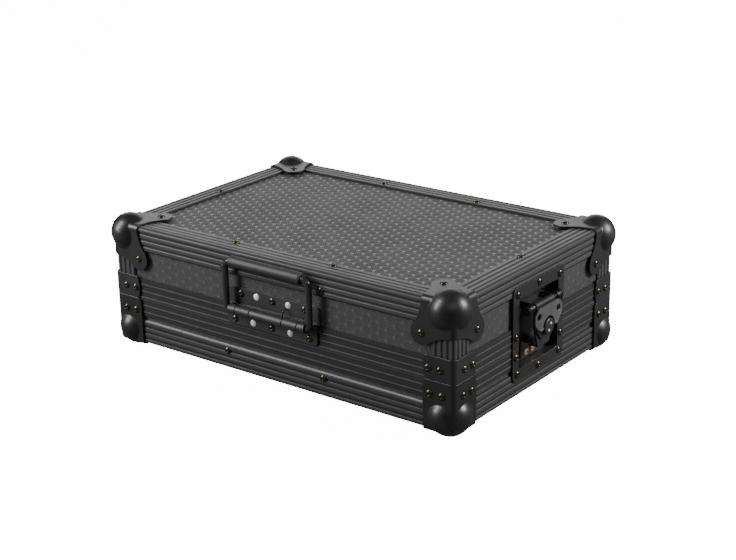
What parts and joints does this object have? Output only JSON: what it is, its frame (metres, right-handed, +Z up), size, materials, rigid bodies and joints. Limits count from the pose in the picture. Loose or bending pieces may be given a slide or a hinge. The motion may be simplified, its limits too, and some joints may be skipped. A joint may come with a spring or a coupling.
{
  "type": "dj controller case",
  "caption": "Low flight case with ribbed metal edges, ball corners, recessed butterfly latches, a sprung bail handle and a lift-off lid.",
  "frame": {"origin": "centre of the footprint, on the surface that the case stands on", "axes": "+X along the long side to the right, +Y from the handle side to the back, +Z up"},
  "size_m": [0.5656, 0.3798, 0.1796],
  "materials": {
    "foam": "matt open foam",
    "laminate": "textured laminate on plywood",
    "rail_aluminium": "black anodised, satin",
    "bright_bolt": "bright nickel",
    "bare_rivet": "bare, dull",
    "black_rivet": "black nickel",
    "corner_steel": "black, satin",
    "dish_steel": "black, satin",
    "bail_steel": "black, gloss",
    "grip_plastic": "black, smooth",
    "handle_steel": "black, satin",
    "spring_steel": "black oxide",
    "latch_steel": "black, satin"
  },
  "bodies": {
    "base": {"base_back_panel": "laminate", "base_closing_rail_back": "rail_aluminium", "base_closing_rail_front": "rail_aluminium", "base_closing_rails_side": "rail_aluminium", "base_edge_rail_back": "rail_aluminium", "base_edge_rail_front": "rail_aluminium", "base_edge_rails_side": "rail_aluminium", "base_floor_panel": "laminate", "base_foam_tray": "foam", "base_foot_corner_back_left": "corner_steel", "base_foot_corner_back_right": "corner_steel", "base_foot_corner_front_left": "corner_steel", "base_foot_corner_front_right": "corner_steel", "base_front_panel": "laminate", "base_left_panel": "laminate", "base_right_panel": "laminate", "base_rivets": "black_rivet", "keeper_rivets": "bare_rivet", "latch_dish_lower_left": "dish_steel", "latch_dish_lower_right": "dish_steel", "latch_keepers": "dish_steel"},
    "lid": {"handle_back_plate": "handle_steel", "handle_bolts": "bright_bolt", "handle_spring": "spring_steel", "latch_bracket_left": "latch_steel", "latch_bracket_right": "latch_steel", "latch_dish_upper_left": "dish_steel", "latch_dish_upper_right": "dish_steel", "latch_springs_left": "spring_steel", "latch_springs_right": "spring_steel", "lid_back_panel": "laminate", "lid_ball_corner_back_left": "corner_steel", "lid_ball_corner_back_right": "corner_steel", "lid_ball_corner_front_left": "corner_steel", "lid_ball_corner_front_right": "corner_steel", "lid_braces": "corner_steel", "lid_closing_rail_back": "rail_aluminium", "lid_closing_rail_front": "rail_aluminium", "lid_closing_rails_side": "rail_aluminium", "lid_corner_posts": "rail_aluminium", "lid_edge_rail_back": "rail_aluminium", "lid_edge_rail_front": "rail_aluminium", "lid_edge_rails_side": "rail_aluminium", "lid_foam_lining": "foam", "lid_front_panel": "laminate", "lid_left_panel": "laminate", "lid_right_panel": "laminate", "lid_rivets": "black_rivet", "lid_top_panel": "laminate"},
    "handle": {"handle_bail": "bail_steel", "handle_grip": "grip_plastic"},
    "latch_carrier_right": {"latch_carrier_right": "latch_steel"},
    "latch_hook_right": {"latch_hook_right": "latch_steel"},
    "latch_spindle_right": {"latch_spindle_right": "latch_steel"},
    "latch_wing_right": {"latch_wing_right": "latch_steel"},
    "latch_carrier_left": {"latch_carrier_left": "latch_steel"},
    "latch_hook_left": {"latch_hook_left": "latch_steel"},
    "latch_spindle_left": {"latch_spindle_left": "latch_steel"},
    "latch_wing_left": {"latch_wing_left": "latch_steel"}
  },
  "joints": [
    {"name": "lid_lift", "type": "slide", "parent": "base", "child": "lid", "axis": [0, 0, 1], "range_m": [0, 0.15]},
    {"name": "handle_swing", "type": "hinge", "parent": "lid", "child": "handle", "pos_m": [0, -0.1826, 0.0966], "axis": [1, 0, 0], "range_deg": [0, 100], "stiffness_Nm_per_rad": 0.3, "springref_deg": -14.32},
    {"name": "latch_flip_right", "type": "hinge", "parent": "lid", "child": "latch_carrier_right", "pos_m": [0.2717, 0.0029, 0.1176], "axis": [0, -1, 0], "range_deg": [0, 40], "stiffness_Nm_per_rad": 0.1, "springref_deg": -8.59},
    {"name": "latch_turn_right", "type": "hinge", "parent": "latch_carrier_right", "child": "latch_spindle_right", "pos_m": [0.2764, 0.0029, 0.0891], "axis": [1, 0, 0], "range_deg": [0, 180]},
    {"name": "hook_slide_right", "type": "slide", "parent": "latch_carrier_right", "child": "latch_hook_right", "axis": [0, 0, -1], "range_m": [0, 0.007]},
    {"name": "wing_fold_right", "type": "hinge", "parent": "latch_spindle_right", "child": "latch_wing_right", "pos_m": [0.2797, 0.0029, 0.0891], "axis": [0, 1, 0], "range_deg": [0, 90]},
    {"name": "latch_flip_left", "type": "hinge", "parent": "lid", "child": "latch_carrier_left", "pos_m": [-0.2717, 0.0029, 0.1176], "axis": [0, 1, 0], "range_deg": [0, 40], "stiffness_Nm_per_rad": 0.1, "springref_deg": -8.59},
    {"name": "latch_turn_left", "type": "hinge", "parent": "latch_carrier_left", "child": "latch_spindle_left", "pos_m": [-0.2764, 0.0029, 0.0891], "axis": [-1, 0, 0], "range_deg": [0, 180]},
    {"name": "hook_slide_left", "type": "slide", "parent": "latch_carrier_left", "child": "latch_hook_left", "axis": [0, 0, -1], "range_m": [0, 0.007]},
    {"name": "wing_fold_left", "type": "hinge", "parent": "latch_spindle_left", "child": "latch_wing_left", "pos_m": [-0.2797, 0.0029, 0.0891], "axis": [0, -1, 0], "range_deg": [0, 90]}
  ],
  "couplings": [
    {"joint": "hook_slide_right", "follows": "latch_turn_right", "m_per_rad": 0.002228},
    {"joint": "hook_slide_left", "follows": "latch_turn_left", "m_per_rad": 0.002228}
  ]
}
